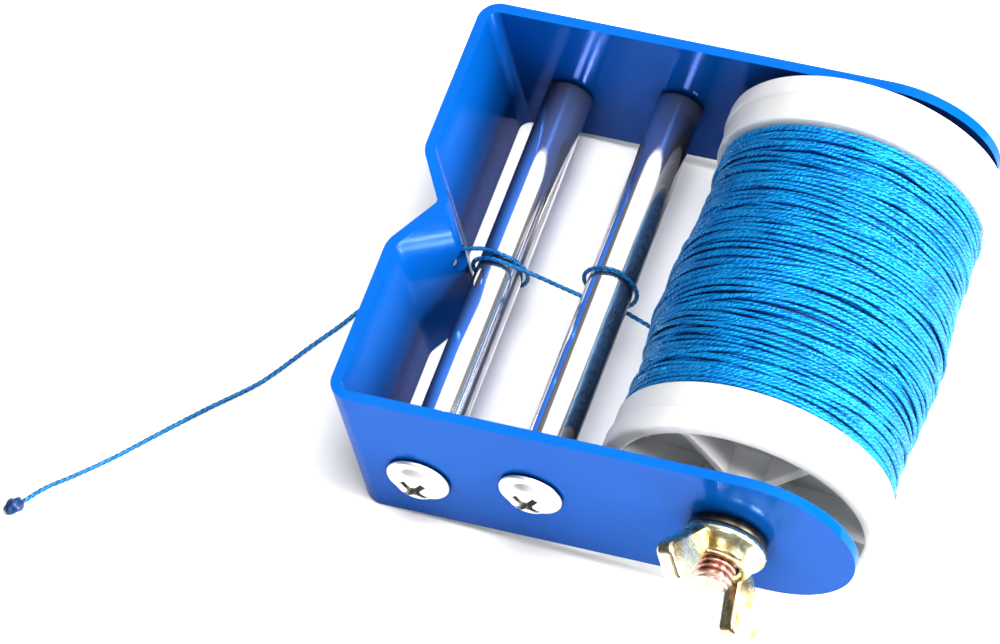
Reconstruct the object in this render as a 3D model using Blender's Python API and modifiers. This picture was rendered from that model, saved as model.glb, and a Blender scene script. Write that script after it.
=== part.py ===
"""Hand jig for serving bow strings: a bent steel strap that carries two guide rods and a spool of
twisted thread on a clamping bolt.

Metres, +Z up.  The jig is drawn in the strap's own frame: X runs along the arms from the web's outer
face, Y runs across from the near arm to the far arm, and Z runs across the strap's width.  One empty
then tilts that frame about Y until the web's lower edge and both spool rims stand on Z = 0.
"""
import math

import bmesh
import bpy
from mathutils import Matrix, Vector

MM = 0.001
GAP = 0.3 * MM            # clearance between two pieces that touch

# Strap
STRAP_WIDTH = 30.0 * MM
STRAP_THICK = 1.6 * MM
FRAME_HALF = 35.25 * MM   # from the middle plane to an arm's outer face
ARM_STRAIGHT = 64.1 * MM  # from the web to the centre of an arm's round end
BEND_RADIUS = 3.3 * MM    # outer radius of the two corner bends
NOTCH_HALF = 8.2 * MM     # half the mouth of the V in the web
NOTCH_DEPTH = 5.15 * MM
KNEE_RADIUS = 4.5 * MM    # where the web turns into the V
APEX_RADIUS = 0.8 * MM
THREAD_HOLE_R = 2.2 * MM
MIDLINE = STRAP_WIDTH / 2
ARM_INNER = FRAME_HALF - STRAP_THICK

# Guide rods and their screws, as (x, z) of the rods' axes
ROD_RADIUS = 3.55 * MM
ROD_AXES = {"web": (11.36 * MM, 11.22 * MM), "spool": (29.49 * MM, 14.49 * MM)}
TAP_RADIUS = 2.0 * MM
TAP_DEPTH = 10.0 * MM
SCREW_RADIUS = 1.7 * MM
SCREW_REACH = 9.0 * MM    # from under the head to the shank's end
SCREW_HEAD_R = 4.85 * MM
SCREW_HEAD_H = 2.3 * MM
RECESS_WIDTH = 4.6 * MM
RECESS_SLOT = 1.1 * MM
RECESS_DEPTH = 1.8 * MM
ARM_HOLE_R = 2.3 * MM

# Axle bolt, washer and wing nut
AXLE_X = 60.0 * MM
BOLT_RADIUS = 2.95 * MM
BOLT_BEYOND = 8.8 * MM    # from the near arm's outer face to the bolt's tip
BOLT_HEAD_FLATS = 10.0 * MM
BOLT_HEAD_H = 4.0 * MM
BOLT_HOLE_R = 3.3 * MM
WASHER_RADIUS = 6.0 * MM
WASHER_THICK = 1.2 * MM
NUT_BASE_R = 6.5 * MM
NUT_TOP_R = 4.9 * MM
NUT_HEIGHT = 3.9 * MM
NUT_BORE_R = 3.3 * MM
WING_THICK = 3.0 * MM
WING_FOOT = (7.0 * MM, 1.2 * MM)      # a wing's corners, as (radius, height above the nut's seat)
WING_OUTER = (12.8 * MM, 8.1 * MM)
WING_INNER = (6.5 * MM, 11.9 * MM)
WING_NECK = (4.0 * MM, 3.2 * MM)
WING_ROUND = 1.6 * MM
WING_RISE = 11.1 * MM     # from the nut's seat to the rounded top of a wing
WING_ANGLE = math.radians(-65.0)

# Spool and its thread
FLANGE_RADIUS = 21.5 * MM
FLANGE_INNER_R = 21.1 * MM
SPOOL_HALF = 30.6 * MM    # to a rim's front face
WOUND_HALF = 22.9 * MM    # to a flange's inner face
DISC_THICK = 2.0 * MM
RIM_BORE_R = 18.9 * MM
BARREL_RADIUS = 10.0 * MM
BARREL_BORE_R = 8.2 * MM
HUB_RADIUS = 6.6 * MM
HUB_BORE_R = 3.5 * MM
RIB_COUNT = 6
RIB_THICK = 1.5 * MM
RIB_START = math.radians(49.0)

# Thread line
THREAD_RADIUS = 0.35 * MM
KNOT_RADII = (1.5 * MM, 1.05 * MM, 1.0 * MM)

# The strap's frame stands on the web's lower edge and the rims
TILT = math.asin(FLANGE_RADIUS / math.hypot(AXLE_X, MIDLINE)) - math.atan2(MIDLINE, AXLE_X)
REACH_BACK = -STRAP_WIDTH * math.sin(TILT)
REACH_FRONT = AXLE_X * math.cos(TILT) - MIDLINE * math.sin(TILT) + FLANGE_RADIUS
NUT_SEAT = FRAME_HALF + WASHER_THICK + 2 * GAP
REACH_NEAR = -(NUT_SEAT + WING_RISE)
REACH_FAR = FRAME_HALF + GAP + BOLT_HEAD_H
STAND = Vector((-(REACH_BACK + REACH_FRONT) / 2, -(REACH_NEAR + REACH_FAR) / 2, 0.0))

NEAR = Matrix.Rotation(math.pi / 2, 4, "X")    # turns a piece's own +Z to -Y, out of the near arm
FAR = Matrix.Rotation(-math.pi / 2, 4, "X")    # turns it to +Y, out of the far arm


def clear_scene():
    for obj in list(bpy.data.objects):
        bpy.data.objects.remove(obj, do_unlink=True)


def new_collection(name):
    collection = bpy.data.collections.new(name)
    bpy.context.scene.collection.children.link(collection)
    return collection


def make_material(name, colour, roughness, metallic):
    material = bpy.data.materials.new(name)
    material.use_nodes = True
    shader = material.node_tree.nodes["Principled BSDF"]
    shader.inputs["Base Color"].default_value = (*colour, 1.0)
    shader.inputs["Roughness"].default_value = roughness
    shader.inputs["Metallic"].default_value = metallic
    return material


def add_object(name, mesh, material=None, matrix=Matrix.Identity(4)):
    """A piece of the jig, placed in the strap's frame; without a material it is a cutter."""
    obj = bpy.data.objects.new(name, mesh)
    if material is None:
        cutters.objects.link(obj)
        obj.hide_render = True
        obj.display_type = "WIRE"
    else:
        pieces.objects.link(obj)
        mesh.materials.append(material)
    obj.parent = strap_frame_empty
    obj.matrix_local = matrix
    return obj


def at(x, y, z, turn=Matrix.Identity(4)):
    return Matrix.Translation((x, y, z)) @ turn


def turned(name, profile, steps, material=None, matrix=Matrix.Identity(4), closed=False):
    """Turn a profile of (radius, height) about its own Z; the outer side runs from top to bottom."""
    mesh = bpy.data.meshes.new(name)
    count = len(profile)
    edges = [(i, i + 1) for i in range(count - 1)]
    if closed:
        edges.append((count - 1, 0))
    mesh.from_pydata([(radius, 0.0, height) for radius, height in profile], edges, [])
    obj = add_object(name, mesh, material, matrix)
    screw = obj.modifiers.new("turn", "SCREW")
    screw.steps = steps
    screw.render_steps = steps
    screw.use_merge_vertices = True
    screw.merge_threshold = 0.00001
    return obj


def plate(name, outline, thickness, material=None, matrix=Matrix.Identity(4)):
    """A flat plate with an outline of (x, z) and its thickness along Y."""
    bm = bmesh.new()
    bm.faces.new([bm.verts.new((x, 0.0, z)) for x, z in outline])
    mesh = bpy.data.meshes.new(name)
    bm.to_mesh(mesh)
    bm.free()
    obj = add_object(name, mesh, material, matrix)
    solidify = obj.modifiers.new("thickness", "SOLIDIFY")
    solidify.thickness = thickness
    solidify.offset = 0.0
    return obj


def combine(obj, other, operation):
    boolean = obj.modifiers.new(other.name, "BOOLEAN")
    boolean.operation = operation
    boolean.object = other
    boolean.solver = "EXACT"


def rod_bar(name, radius, length, matrix):
    """A plain round cutter along its own Z."""
    return turned(name, [(0, length / 2), (radius, length / 2), (radius, -length / 2), (0, -length / 2)],
                  24, None, matrix)


def arc(centre, radius, start, end, count):
    """Points on an arc, both ends included."""
    points = []
    for i in range(count + 1):
        angle = start + (end - start) * i / count
        points.append((centre[0] + radius * math.cos(angle), centre[1] + radius * math.sin(angle)))
    return points


def round_corner(before, corner, after, radius, count):
    """The points of a fillet at one corner of a path."""
    into = (Vector(corner) - Vector(before)).normalized()
    out = (Vector(after) - Vector(corner)).normalized()
    turn = into.angle_signed(out)
    trim = radius * math.tan(abs(turn) / 2)
    side = math.copysign(1.0, -turn)
    start = Vector(corner) - into * trim
    centre = start + Vector((-into.y, into.x)) * radius * side
    first = math.atan2(start.y - centre.y, start.x - centre.x)
    return arc(centre, radius, first, first - turn, count)


# ---------------------------------------------------------------- strap

def strap_path():
    """The strap's middle line in plan, from the near arm's straight end round to the far arm's."""
    half = STRAP_THICK / 2
    arm_y = FRAME_HALF - half
    slope = math.atan2(NOTCH_DEPTH, NOTCH_HALF)
    apex_x = NOTCH_DEPTH + half / math.cos(slope)
    knee_y = (apex_x - half) / math.tan(slope)
    corners = [(ARM_STRAIGHT, -arm_y), (half, -arm_y), (half, -knee_y), (apex_x, 0.0),
               (half, knee_y), (half, arm_y), (ARM_STRAIGHT, arm_y)]
    corner_r = BEND_RADIUS - half
    knee_r = KNEE_RADIUS - half
    apex_r = APEX_RADIUS + half
    radii = [corner_r, knee_r, apex_r, knee_r, corner_r]
    counts = [8, 4, 6, 4, 8]
    path = [corners[0]]
    for i, (radius, count) in enumerate(zip(radii, counts)):
        path += round_corner(corners[i], corners[i + 1], corners[i + 2], radius, count)
    return path + [corners[-1]]


def make_strap(material):
    """A ribbon of upright columns along the middle line, with a half-round end on each arm."""
    end_steps = 12
    path = strap_path()
    columns = [(x, y, 0.0, STRAP_WIDTH) for x, y in path]
    arm_y = path[-1][1]
    near_end = []
    far_end = []
    for i in range(1, end_steps):
        angle = math.pi / 2 * i / end_steps
        x = ARM_STRAIGHT + MIDLINE * math.sin(angle)
        reach = MIDLINE * math.cos(angle)
        near_end.insert(0, (x, -arm_y, MIDLINE - reach, MIDLINE + reach))
        far_end.append((x, arm_y, MIDLINE - reach, MIDLINE + reach))
    columns = near_end + columns + far_end
    bm = bmesh.new()
    rows = [(bm.verts.new((x, y, low)), bm.verts.new((x, y, high))) for x, y, low, high in columns]
    for (low_a, high_a), (low_b, high_b) in zip(rows, rows[1:]):
        bm.faces.new((low_a, low_b, high_b, high_a))
    tip_x = ARM_STRAIGHT + MIDLINE
    near_tip = bm.verts.new((tip_x, -arm_y, MIDLINE))
    far_tip = bm.verts.new((tip_x, arm_y, MIDLINE))
    bm.faces.new((near_tip, rows[0][0], rows[0][1]))
    bm.faces.new((far_tip, rows[-1][1], rows[-1][0]))
    mesh = bpy.data.meshes.new("strap_frame")
    bm.to_mesh(mesh)
    bm.free()
    strap = add_object("strap_frame", mesh, material)
    solidify = strap.modifiers.new("thickness", "SOLIDIFY")
    solidify.thickness = STRAP_THICK
    solidify.offset = 0.0
    solidify.use_even_offset = True
    through = 2 * FRAME_HALF + 4 * MM
    for place, (x, z) in ROD_AXES.items():
        combine(strap, rod_bar("hole_" + place, ARM_HOLE_R, through, at(x, 0, z, NEAR)), "DIFFERENCE")
    combine(strap, rod_bar("hole_axle", BOLT_HOLE_R, through, at(AXLE_X, 0, MIDLINE, NEAR)), "DIFFERENCE")
    turn = Matrix.Rotation(math.pi / 2, 4, "Y")
    combine(strap, rod_bar("hole_thread", THREAD_HOLE_R, 16 * MM, at(NOTCH_DEPTH, 0, MIDLINE, turn)),
            "DIFFERENCE")


# ---------------------------------------------------------------- rods and screws

def make_rod(place, material):
    """A round bar tapped at both ends; it stops just short of the arms."""
    end = ARM_INNER - GAP
    floor = end - TAP_DEPTH
    chamfer = 0.4 * MM
    half = [(0, floor), (TAP_RADIUS, floor), (TAP_RADIUS, end), (ROD_RADIUS - chamfer, end),
            (ROD_RADIUS, end - chamfer)]
    profile = half + [(radius, -height) for radius, height in reversed(half)]
    x, z = ROD_AXES[place]
    turned("guide_rod_" + place, profile, 32, material, at(x, 0, z, NEAR))


def make_screw(place, side, material):
    """A truss-head screw with a cross recess, through an arm into a rod's end."""
    rim = 0.5 * MM
    under = GAP
    dome = [(0, under + SCREW_HEAD_H), (1.5 * MM, under + 2.2 * MM), (2.9 * MM, under + 1.8 * MM),
            (4.0 * MM, under + 1.1 * MM), (SCREW_HEAD_R, under + rim), (SCREW_HEAD_R, under)]
    shank = [(SCREW_RADIUS, under), (SCREW_RADIUS, under - SCREW_REACH + 0.5 * MM),
             (SCREW_RADIUS - 0.5 * MM, under - SCREW_REACH), (0, under - SCREW_REACH)]
    x, z = ROD_AXES[place]
    sign, turn = (-1, NEAR) if side == "near" else (1, FAR)
    home = at(x, sign * FRAME_HALF, z, turn)
    screw = turned(f"rod_screw_{place}_{side}", dome + shank, 24, material, home)
    top = under + SCREW_HEAD_H
    floor = top - RECESS_DEPTH
    wide = RECESS_WIDTH / 2
    narrow = RECESS_SLOT / 2
    outline = [(-wide, top + MM), (-wide, top - 0.4 * MM), (-narrow, floor), (narrow, floor),
               (wide, top - 0.4 * MM), (wide, top + MM)]
    for quarter in (0.25, 0.75):
        spin = Matrix.Rotation(math.pi * quarter, 4, "Z")
        slot = plate(f"recess_{place}_{side}_{int(quarter * 4)}", outline, RECESS_SLOT, None, home @ spin)
        combine(screw, slot, "DIFFERENCE")


# ---------------------------------------------------------------- axle bolt, washer and wing nut

def make_bolt(material):
    """A hexagon bolt whose head sits on the far arm and whose tip stands out of the near one."""
    tip = FRAME_HALF + BOLT_BEYOND
    seat = FRAME_HALF + GAP
    chamfer = 0.6 * MM
    profile = [(0, tip), (BOLT_RADIUS - chamfer, tip), (BOLT_RADIUS, tip - chamfer),
               (BOLT_RADIUS, -seat - MM), (0, -seat - MM)]
    bolt = turned("axle_bolt", profile, 32, material, at(AXLE_X, 0, MIDLINE, NEAR))
    corner = BOLT_HEAD_FLATS / math.sqrt(3)
    outline = arc((0.0, 0.0), corner, 0.0, math.tau * 5 / 6, 5)
    head = plate("bolt_head", outline, BOLT_HEAD_H, None, at(AXLE_X, seat + BOLT_HEAD_H / 2, MIDLINE))
    combine(bolt, head, "UNION")


def make_washer(material):
    low = FRAME_HALF + GAP
    high = low + WASHER_THICK
    profile = [(NUT_BORE_R, high), (WASHER_RADIUS, high), (WASHER_RADIUS, low), (NUT_BORE_R, low)]
    turned("nut_washer", profile, 32, material, at(AXLE_X, 0, MIDLINE, NEAR), closed=True)


def wing_outline(side):
    """One wing in the plane of the bolt's axis: a petal that leans outward, with two rounded corners."""
    outline = [(WING_NECK[0], 0.9 * MM), WING_FOOT,
               *round_corner(WING_FOOT, WING_OUTER, WING_INNER, WING_ROUND, 5),
               *round_corner(WING_OUTER, WING_INNER, WING_NECK, WING_ROUND, 5), WING_NECK]
    return [(side * x, z) for x, z in outline]


def make_wing_nut(material):
    collar = 1.3 * MM
    profile = [(NUT_BORE_R, NUT_HEIGHT), (NUT_TOP_R - 0.4 * MM, NUT_HEIGHT),
               (NUT_TOP_R, NUT_HEIGHT - 0.4 * MM), (NUT_BASE_R - 0.4 * MM, collar),
               (NUT_BASE_R, collar - 0.4 * MM), (NUT_BASE_R, 0.0), (NUT_BORE_R, 0.0)]
    home = at(AXLE_X, -NUT_SEAT, MIDLINE, NEAR @ Matrix.Rotation(WING_ANGLE, 4, "Z"))
    nut = turned("wing_nut", profile, 32, material, home, closed=True)
    for side, label in ((1, "lower"), (-1, "upper")):
        wing = plate("wing_" + label, wing_outline(side), WING_THICK, None, home)
        combine(nut, wing, "UNION")


# ---------------------------------------------------------------- spool and wound thread

def make_spool(material):
    """A moulded spool: two cupped flanges with ribs, a hollow barrel and a hub that meets the arms."""
    hub_end = ARM_INNER - GAP - 0.05 * MM
    disc = WOUND_HALF + DISC_THICK
    stub = WOUND_HALF - 1.4 * MM
    round_r = 0.7 * MM
    half = [(HUB_BORE_R, hub_end), (HUB_RADIUS, hub_end), (HUB_RADIUS + 0.2 * MM, disc),
            (RIM_BORE_R - 0.4 * MM, disc), (RIM_BORE_R, SPOOL_HALF), (FLANGE_RADIUS - round_r, SPOOL_HALF),
            (FLANGE_RADIUS, SPOOL_HALF - 1.1 * MM), (FLANGE_RADIUS, 27.5 * MM), (FLANGE_INNER_R, 27.0 * MM),
            (FLANGE_INNER_R, WOUND_HALF), (BARREL_RADIUS, WOUND_HALF)]
    bore = [(HUB_BORE_R, -stub), (BARREL_BORE_R, -stub), (BARREL_BORE_R, stub), (HUB_BORE_R, stub)]
    profile = half + [(radius, -height) for radius, height in reversed(half)] + bore
    home = at(AXLE_X, 0, MIDLINE, NEAR)
    spool = turned("spool", profile, 40, material, home, closed=True)
    foot = disc - 0.5 * MM
    for end, label in ((1, "near"), (-1, "far")):
        outline = [(HUB_RADIUS - 0.5 * MM, end * foot), (RIM_BORE_R + 0.4 * MM, end * foot),
                   (RIM_BORE_R + 0.4 * MM, end * (SPOOL_HALF - 0.4 * MM)),
                   (HUB_RADIUS - 0.5 * MM, end * (SPOOL_HALF - 1.4 * MM))]
        for i in range(RIB_COUNT):
            spin = Matrix.Rotation(RIB_START + math.tau * i / RIB_COUNT, 4, "Z")
            rib = plate(f"rib_{label}_{i}", outline, RIB_THICK, None, home @ spin)
            combine(spool, rib, "UNION")


def make_wound_thread(material):
    """The wound pack: its outer line swells and dips where the thread crosses itself."""
    end = WOUND_HALF - GAP
    inner = BARREL_RADIUS + GAP
    swell = [(-22.0, 20.3), (-15.0, 20.2), (-9.0, 20.5), (-2.0, 21.2), (3.0, 21.3), (8.0, 21.3),
             (12.0, 20.8), (16.0, 20.4), (20.0, 20.7), (22.0, 20.9)]
    outer = [(radius * MM, height * MM) for height, radius in reversed(swell)]
    profile = [(inner, end), (outer[0][0] - 0.3 * MM, end), *outer, (outer[-1][0] - 0.3 * MM, -end),
               (inner, -end)]
    turned("wound_thread", profile, 48, material, at(AXLE_X, 0, MIDLINE, NEAR), closed=True)


# ---------------------------------------------------------------- thread line

def stand(point):
    """Take a point of the strap's frame to the standing frame."""
    return strap_frame_empty.matrix_world @ Vector(point)


def wrap(centre, radius, start, end, y_start, y_end, count):
    """A turn round a rod, from one angle to another in degrees, creeping along Y."""
    points = []
    for i in range(count + 1):
        share = i / count
        angle = math.radians(start + (end - start) * share)
        points.append((centre[0] + radius * math.cos(angle), y_start + (y_end - y_start) * share,
                       centre[1] + radius * math.sin(angle)))
    return points


def line_route():
    """From under the wound pack, once round each rod, through the web and down to the loose end."""
    hug = ROD_RADIUS + THREAD_RADIUS + GAP
    web = ROD_AXES["web"]
    spool = ROD_AXES["spool"]
    held = [(47.4, 0.0, -3.2), (42.4, 0.0, 0.3), (37.3, 0.1, 3.8), (32.2, 0.3, 7.3)]
    held = [(x * MM, y * MM, z * MM) for x, y, z in held]
    held += wrap(spool, hug, 234.0, 90.0, 0.6 * MM, 1.1 * MM, 6)
    held += wrap(spool, hug, 66.0, -107.0, 1.1 * MM, -0.8 * MM, 7)
    held += [(25.0 * MM, -0.45 * MM, 11.6 * MM), (21.4 * MM, -0.1 * MM, 12.6 * MM),
             (17.5 * MM, 0.2 * MM, 13.8 * MM)]
    held += wrap(web, hug, 73.0, 443.0, 0.45 * MM, 1.6 * MM, 16)
    held += [(9.2 * MM, 1.9 * MM, 15.4 * MM), (6.1 * MM, 1.3 * MM, 15.2 * MM),
             (3.6 * MM, 0.7 * MM, 15.0 * MM)]
    loose = [(-1.2, -0.1, 14.3), (-4.6, -1.2, 10.6), (-7.2, -2.3, 5.6), (-9.1, -3.4, 1.9),
             (-10.9, -5.3, 0.55), (-12.8, -8.5, 0.4), (-15.9, -13.3, 0.4), (-19.4, -19.0, 0.4),
             (-21.9, -22.4, 0.4), (-27.0, -27.8, 0.4), (-32.2, -33.7, 0.4), (-37.3, -39.6, 0.4),
             (-42.0, -44.4, 0.4), (-45.3, -47.5, 0.4), (-47.3, -50.2, 0.5), (-48.0, -51.2, 0.65)]
    return [stand(point) for point in held] + [Vector(point) * MM + STAND for point in loose]


def smooth_route(points, spacing):
    """Points at an even spacing along a smooth curve through the route's points."""
    ends = [points[0] * 2 - points[1], *points, points[-1] * 2 - points[-2]]
    fine = []
    per_span = 24
    for a, b, c, d in zip(ends, ends[1:], ends[2:], ends[3:]):
        for i in range(per_span):
            t = i / per_span
            fine.append(0.5 * (2 * b + (c - a) * t + (2 * a - 5 * b + 4 * c - d) * t * t
                               + (3 * b - 3 * c + d - a) * t ** 3))
    fine.append(points[-1])
    lengths = [0.0]
    for a, b in zip(fine, fine[1:]):
        lengths.append(lengths[-1] + (b - a).length)
    count = round(lengths[-1] / spacing)
    even = []
    j = 0
    for i in range(count + 1):
        want = lengths[-1] * i / count
        while j < len(fine) - 2 and lengths[j + 1] < want:
            j += 1
        share = (want - lengths[j]) / (lengths[j + 1] - lengths[j])
        even.append(fine[j].lerp(fine[j + 1], share))
    return even


def make_thread_line(material):
    curve = bpy.data.curves.new("thread_line", "CURVE")
    curve.dimensions = "3D"
    curve.bevel_depth = THREAD_RADIUS
    curve.bevel_resolution = 2
    curve.use_fill_caps = True
    points = smooth_route(line_route(), 5.6 * THREAD_RADIUS)
    spline = curve.splines.new("POLY")
    spline.points.add(len(points) - 1)
    for target, point in zip(spline.points, points):
        target.co = (*point, 1.0)
    curve.materials.append(material)
    line = bpy.data.objects.new("thread_line", curve)
    pieces.objects.link(line)


def make_end_knot(material):
    """The melted, knotted blob that keeps the loose end from unravelling."""
    bm = bmesh.new()
    bmesh.ops.create_uvsphere(bm, u_segments=14, v_segments=10, radius=1.0)
    bmesh.ops.scale(bm, vec=KNOT_RADII, verts=bm.verts)
    mesh = bpy.data.meshes.new("end_knot")
    bm.to_mesh(mesh)
    bm.free()
    mesh.materials.append(material)
    knot = bpy.data.objects.new("end_knot", mesh)
    pieces.objects.link(knot)
    knot.location = Vector((-49.0 * MM, -52.8 * MM, KNOT_RADII[2] + 0.05 * MM)) + STAND
    knot.rotation_euler = (0.0, 0.0, math.radians(57.0))


clear_scene()
pieces = new_collection("string_serving_jig")
cutters = new_collection("cutters")
strap_frame_empty = bpy.data.objects.new("strap_frame_origin", None)
bpy.context.scene.collection.objects.link(strap_frame_empty)
strap_frame_empty.rotation_euler = (0.0, -TILT, 0.0)
strap_frame_empty.location = STAND
bpy.context.view_layer.update()

blue_paint = make_material("blue_paint", (0.0, 0.10, 0.62), 0.18, 0.0)
polished_steel = make_material("polished_steel", (0.78, 0.78, 0.80), 0.06, 1.0)
bright_zinc = make_material("bright_zinc", (0.80, 0.80, 0.82), 0.22, 1.0)
yellow_zinc = make_material("yellow_zinc", (0.80, 0.72, 0.42), 0.25, 1.0)
copper_zinc = make_material("copper_zinc", (0.80, 0.52, 0.46), 0.28, 1.0)
white_plastic = make_material("white_plastic", (0.86, 0.86, 0.85), 0.4, 0.0)
blue_thread = make_material("blue_thread", (0.01, 0.20, 0.66), 0.45, 0.0)
melted_thread = make_material("melted_thread", (0.01, 0.07, 0.20), 0.35, 0.0)

make_strap(blue_paint)
for rod_place in ROD_AXES:
    make_rod(rod_place, polished_steel)
    for arm_side in ("near", "far"):
        make_screw(rod_place, arm_side, bright_zinc)
make_bolt(copper_zinc)
make_washer(yellow_zinc)
make_wing_nut(yellow_zinc)
make_spool(white_plastic)
make_wound_thread(blue_thread)
make_thread_line(blue_thread)
make_end_knot(melted_thread)
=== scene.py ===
"""Looks of the bow string serving jig: a blue strap frame, two polished guide rods, a white spool of
twisted blue thread on a clamping bolt with a wing nut, and the thread line that leaves through the V.

Pieces are drawn in the strap's frame in millimetres and then stood up: X along the arms from the web,
Y from the near arm to the far arm, Z across the strap's width.
"""
import math

import bmesh
import bpy
import numpy as np
from mathutils import Matrix, Vector


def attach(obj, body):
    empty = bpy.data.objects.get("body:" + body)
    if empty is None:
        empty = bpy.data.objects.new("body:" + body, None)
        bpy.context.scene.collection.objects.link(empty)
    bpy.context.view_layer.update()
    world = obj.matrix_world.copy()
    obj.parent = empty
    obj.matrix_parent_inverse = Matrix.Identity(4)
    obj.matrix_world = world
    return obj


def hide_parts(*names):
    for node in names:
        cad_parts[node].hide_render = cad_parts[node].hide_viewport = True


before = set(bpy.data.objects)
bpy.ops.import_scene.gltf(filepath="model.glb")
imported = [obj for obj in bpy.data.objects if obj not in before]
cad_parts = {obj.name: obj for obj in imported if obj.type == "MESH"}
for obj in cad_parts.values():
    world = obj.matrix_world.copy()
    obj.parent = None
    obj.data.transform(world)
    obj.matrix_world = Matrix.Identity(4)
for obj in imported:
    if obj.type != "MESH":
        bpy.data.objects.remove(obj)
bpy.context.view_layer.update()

MM = 0.001

# The same dimensions as the CAD, in millimetres
STRAP_WIDTH = 30.0
STRAP_THICK = 1.6
FRAME_HALF = 35.25
ARM_STRAIGHT = 64.1
BEND_RADIUS = 3.3
NOTCH_HALF = 8.2
NOTCH_DEPTH = 5.15
KNEE_RADIUS = 4.5
APEX_RADIUS = 0.8
THREAD_HOLE_R = 2.2
MIDLINE = STRAP_WIDTH / 2
ARM_INNER = FRAME_HALF - STRAP_THICK
ROD_RADIUS = 3.55
TAP_RADIUS = 2.0
TAP_DEPTH = 10.0
SCREW_RADIUS = 1.7
SCREW_REACH = 9.0
SCREW_HEAD_H = 2.3
ROD_AXES = {"web": (11.36, 11.22), "spool": (29.49, 14.49)}
ARM_HOLE_R = 2.3
GAP = 0.3                     # clearance between two pieces that touch
AXLE_X = 60.0
BOLT_RADIUS = 2.95
BOLT_BEYOND = 8.8
BOLT_HEAD_FLATS = 10.0
BOLT_HEAD_H = 4.0
BOLT_HOLE_R = 3.3
WASHER_RADIUS = 6.0
WASHER_THICK = 1.2
NUT_BASE_R = 6.5
NUT_TOP_R = 4.9
NUT_HEIGHT = 3.9
NUT_BORE_R = 3.3
WING_FOOT = (7.0, 1.2)        # a wing's corners, as (radius, height above the nut's seat)
WING_OUTER = (12.8, 8.1)
WING_INNER = (6.5, 11.9)
WING_NECK = (4.0, 3.2)
WING_ROUND = 1.6
WING_RISE = 11.1
WING_ANGLE = math.radians(-65.0)
FLANGE_RADIUS = 21.5
SPOOL_HALF = 30.6
WOUND_HALF = 22.9
DISC_THICK = 2.0
BARREL_RADIUS = 10.0
BARREL_BORE_R = 8.2
HUB_BORE_R = 3.5
RIB_COUNT = 6
RIB_THICK = 1.5
RIB_START = math.radians(49.0)
THREAD_RADIUS = 0.35

# Only in this script
SCREW_RECESS = 1.9            # the depth of a screw's cross
STRAND_RADIUS = 0.37          # a winding's, in the pack
LINE_RADIUS = 0.345           # the free thread's, before its strands are shaped

# The strap's frame stands on the web's lower edge and the rims
TILT = math.asin(FLANGE_RADIUS / math.hypot(AXLE_X, MIDLINE)) - math.atan2(MIDLINE, AXLE_X)
REACH_BACK = -STRAP_WIDTH * math.sin(TILT)
REACH_FRONT = AXLE_X * math.cos(TILT) - MIDLINE * math.sin(TILT) + FLANGE_RADIUS
NUT_SEAT = FRAME_HALF + WASHER_THICK + 2 * GAP
REACH_NEAR = -(NUT_SEAT + WING_RISE)
REACH_FAR = FRAME_HALF + GAP + BOLT_HEAD_H
STAND = Vector((-(REACH_BACK + REACH_FRONT) / 2, -(REACH_NEAR + REACH_FAR) / 2, 0.0))
STRAP = Matrix.Scale(MM, 4) @ Matrix.Translation(STAND) @ Matrix.Rotation(-TILT, 4, "Y")
NEAR = Matrix.Rotation(math.pi / 2, 4, "X")     # turns a piece's own +Z to -Y, out of the near arm
FAR = Matrix.Rotation(-math.pi / 2, 4, "X")     # turns it to +Y, out of the far arm


# ---------------------------------------------------------------- materials

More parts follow.
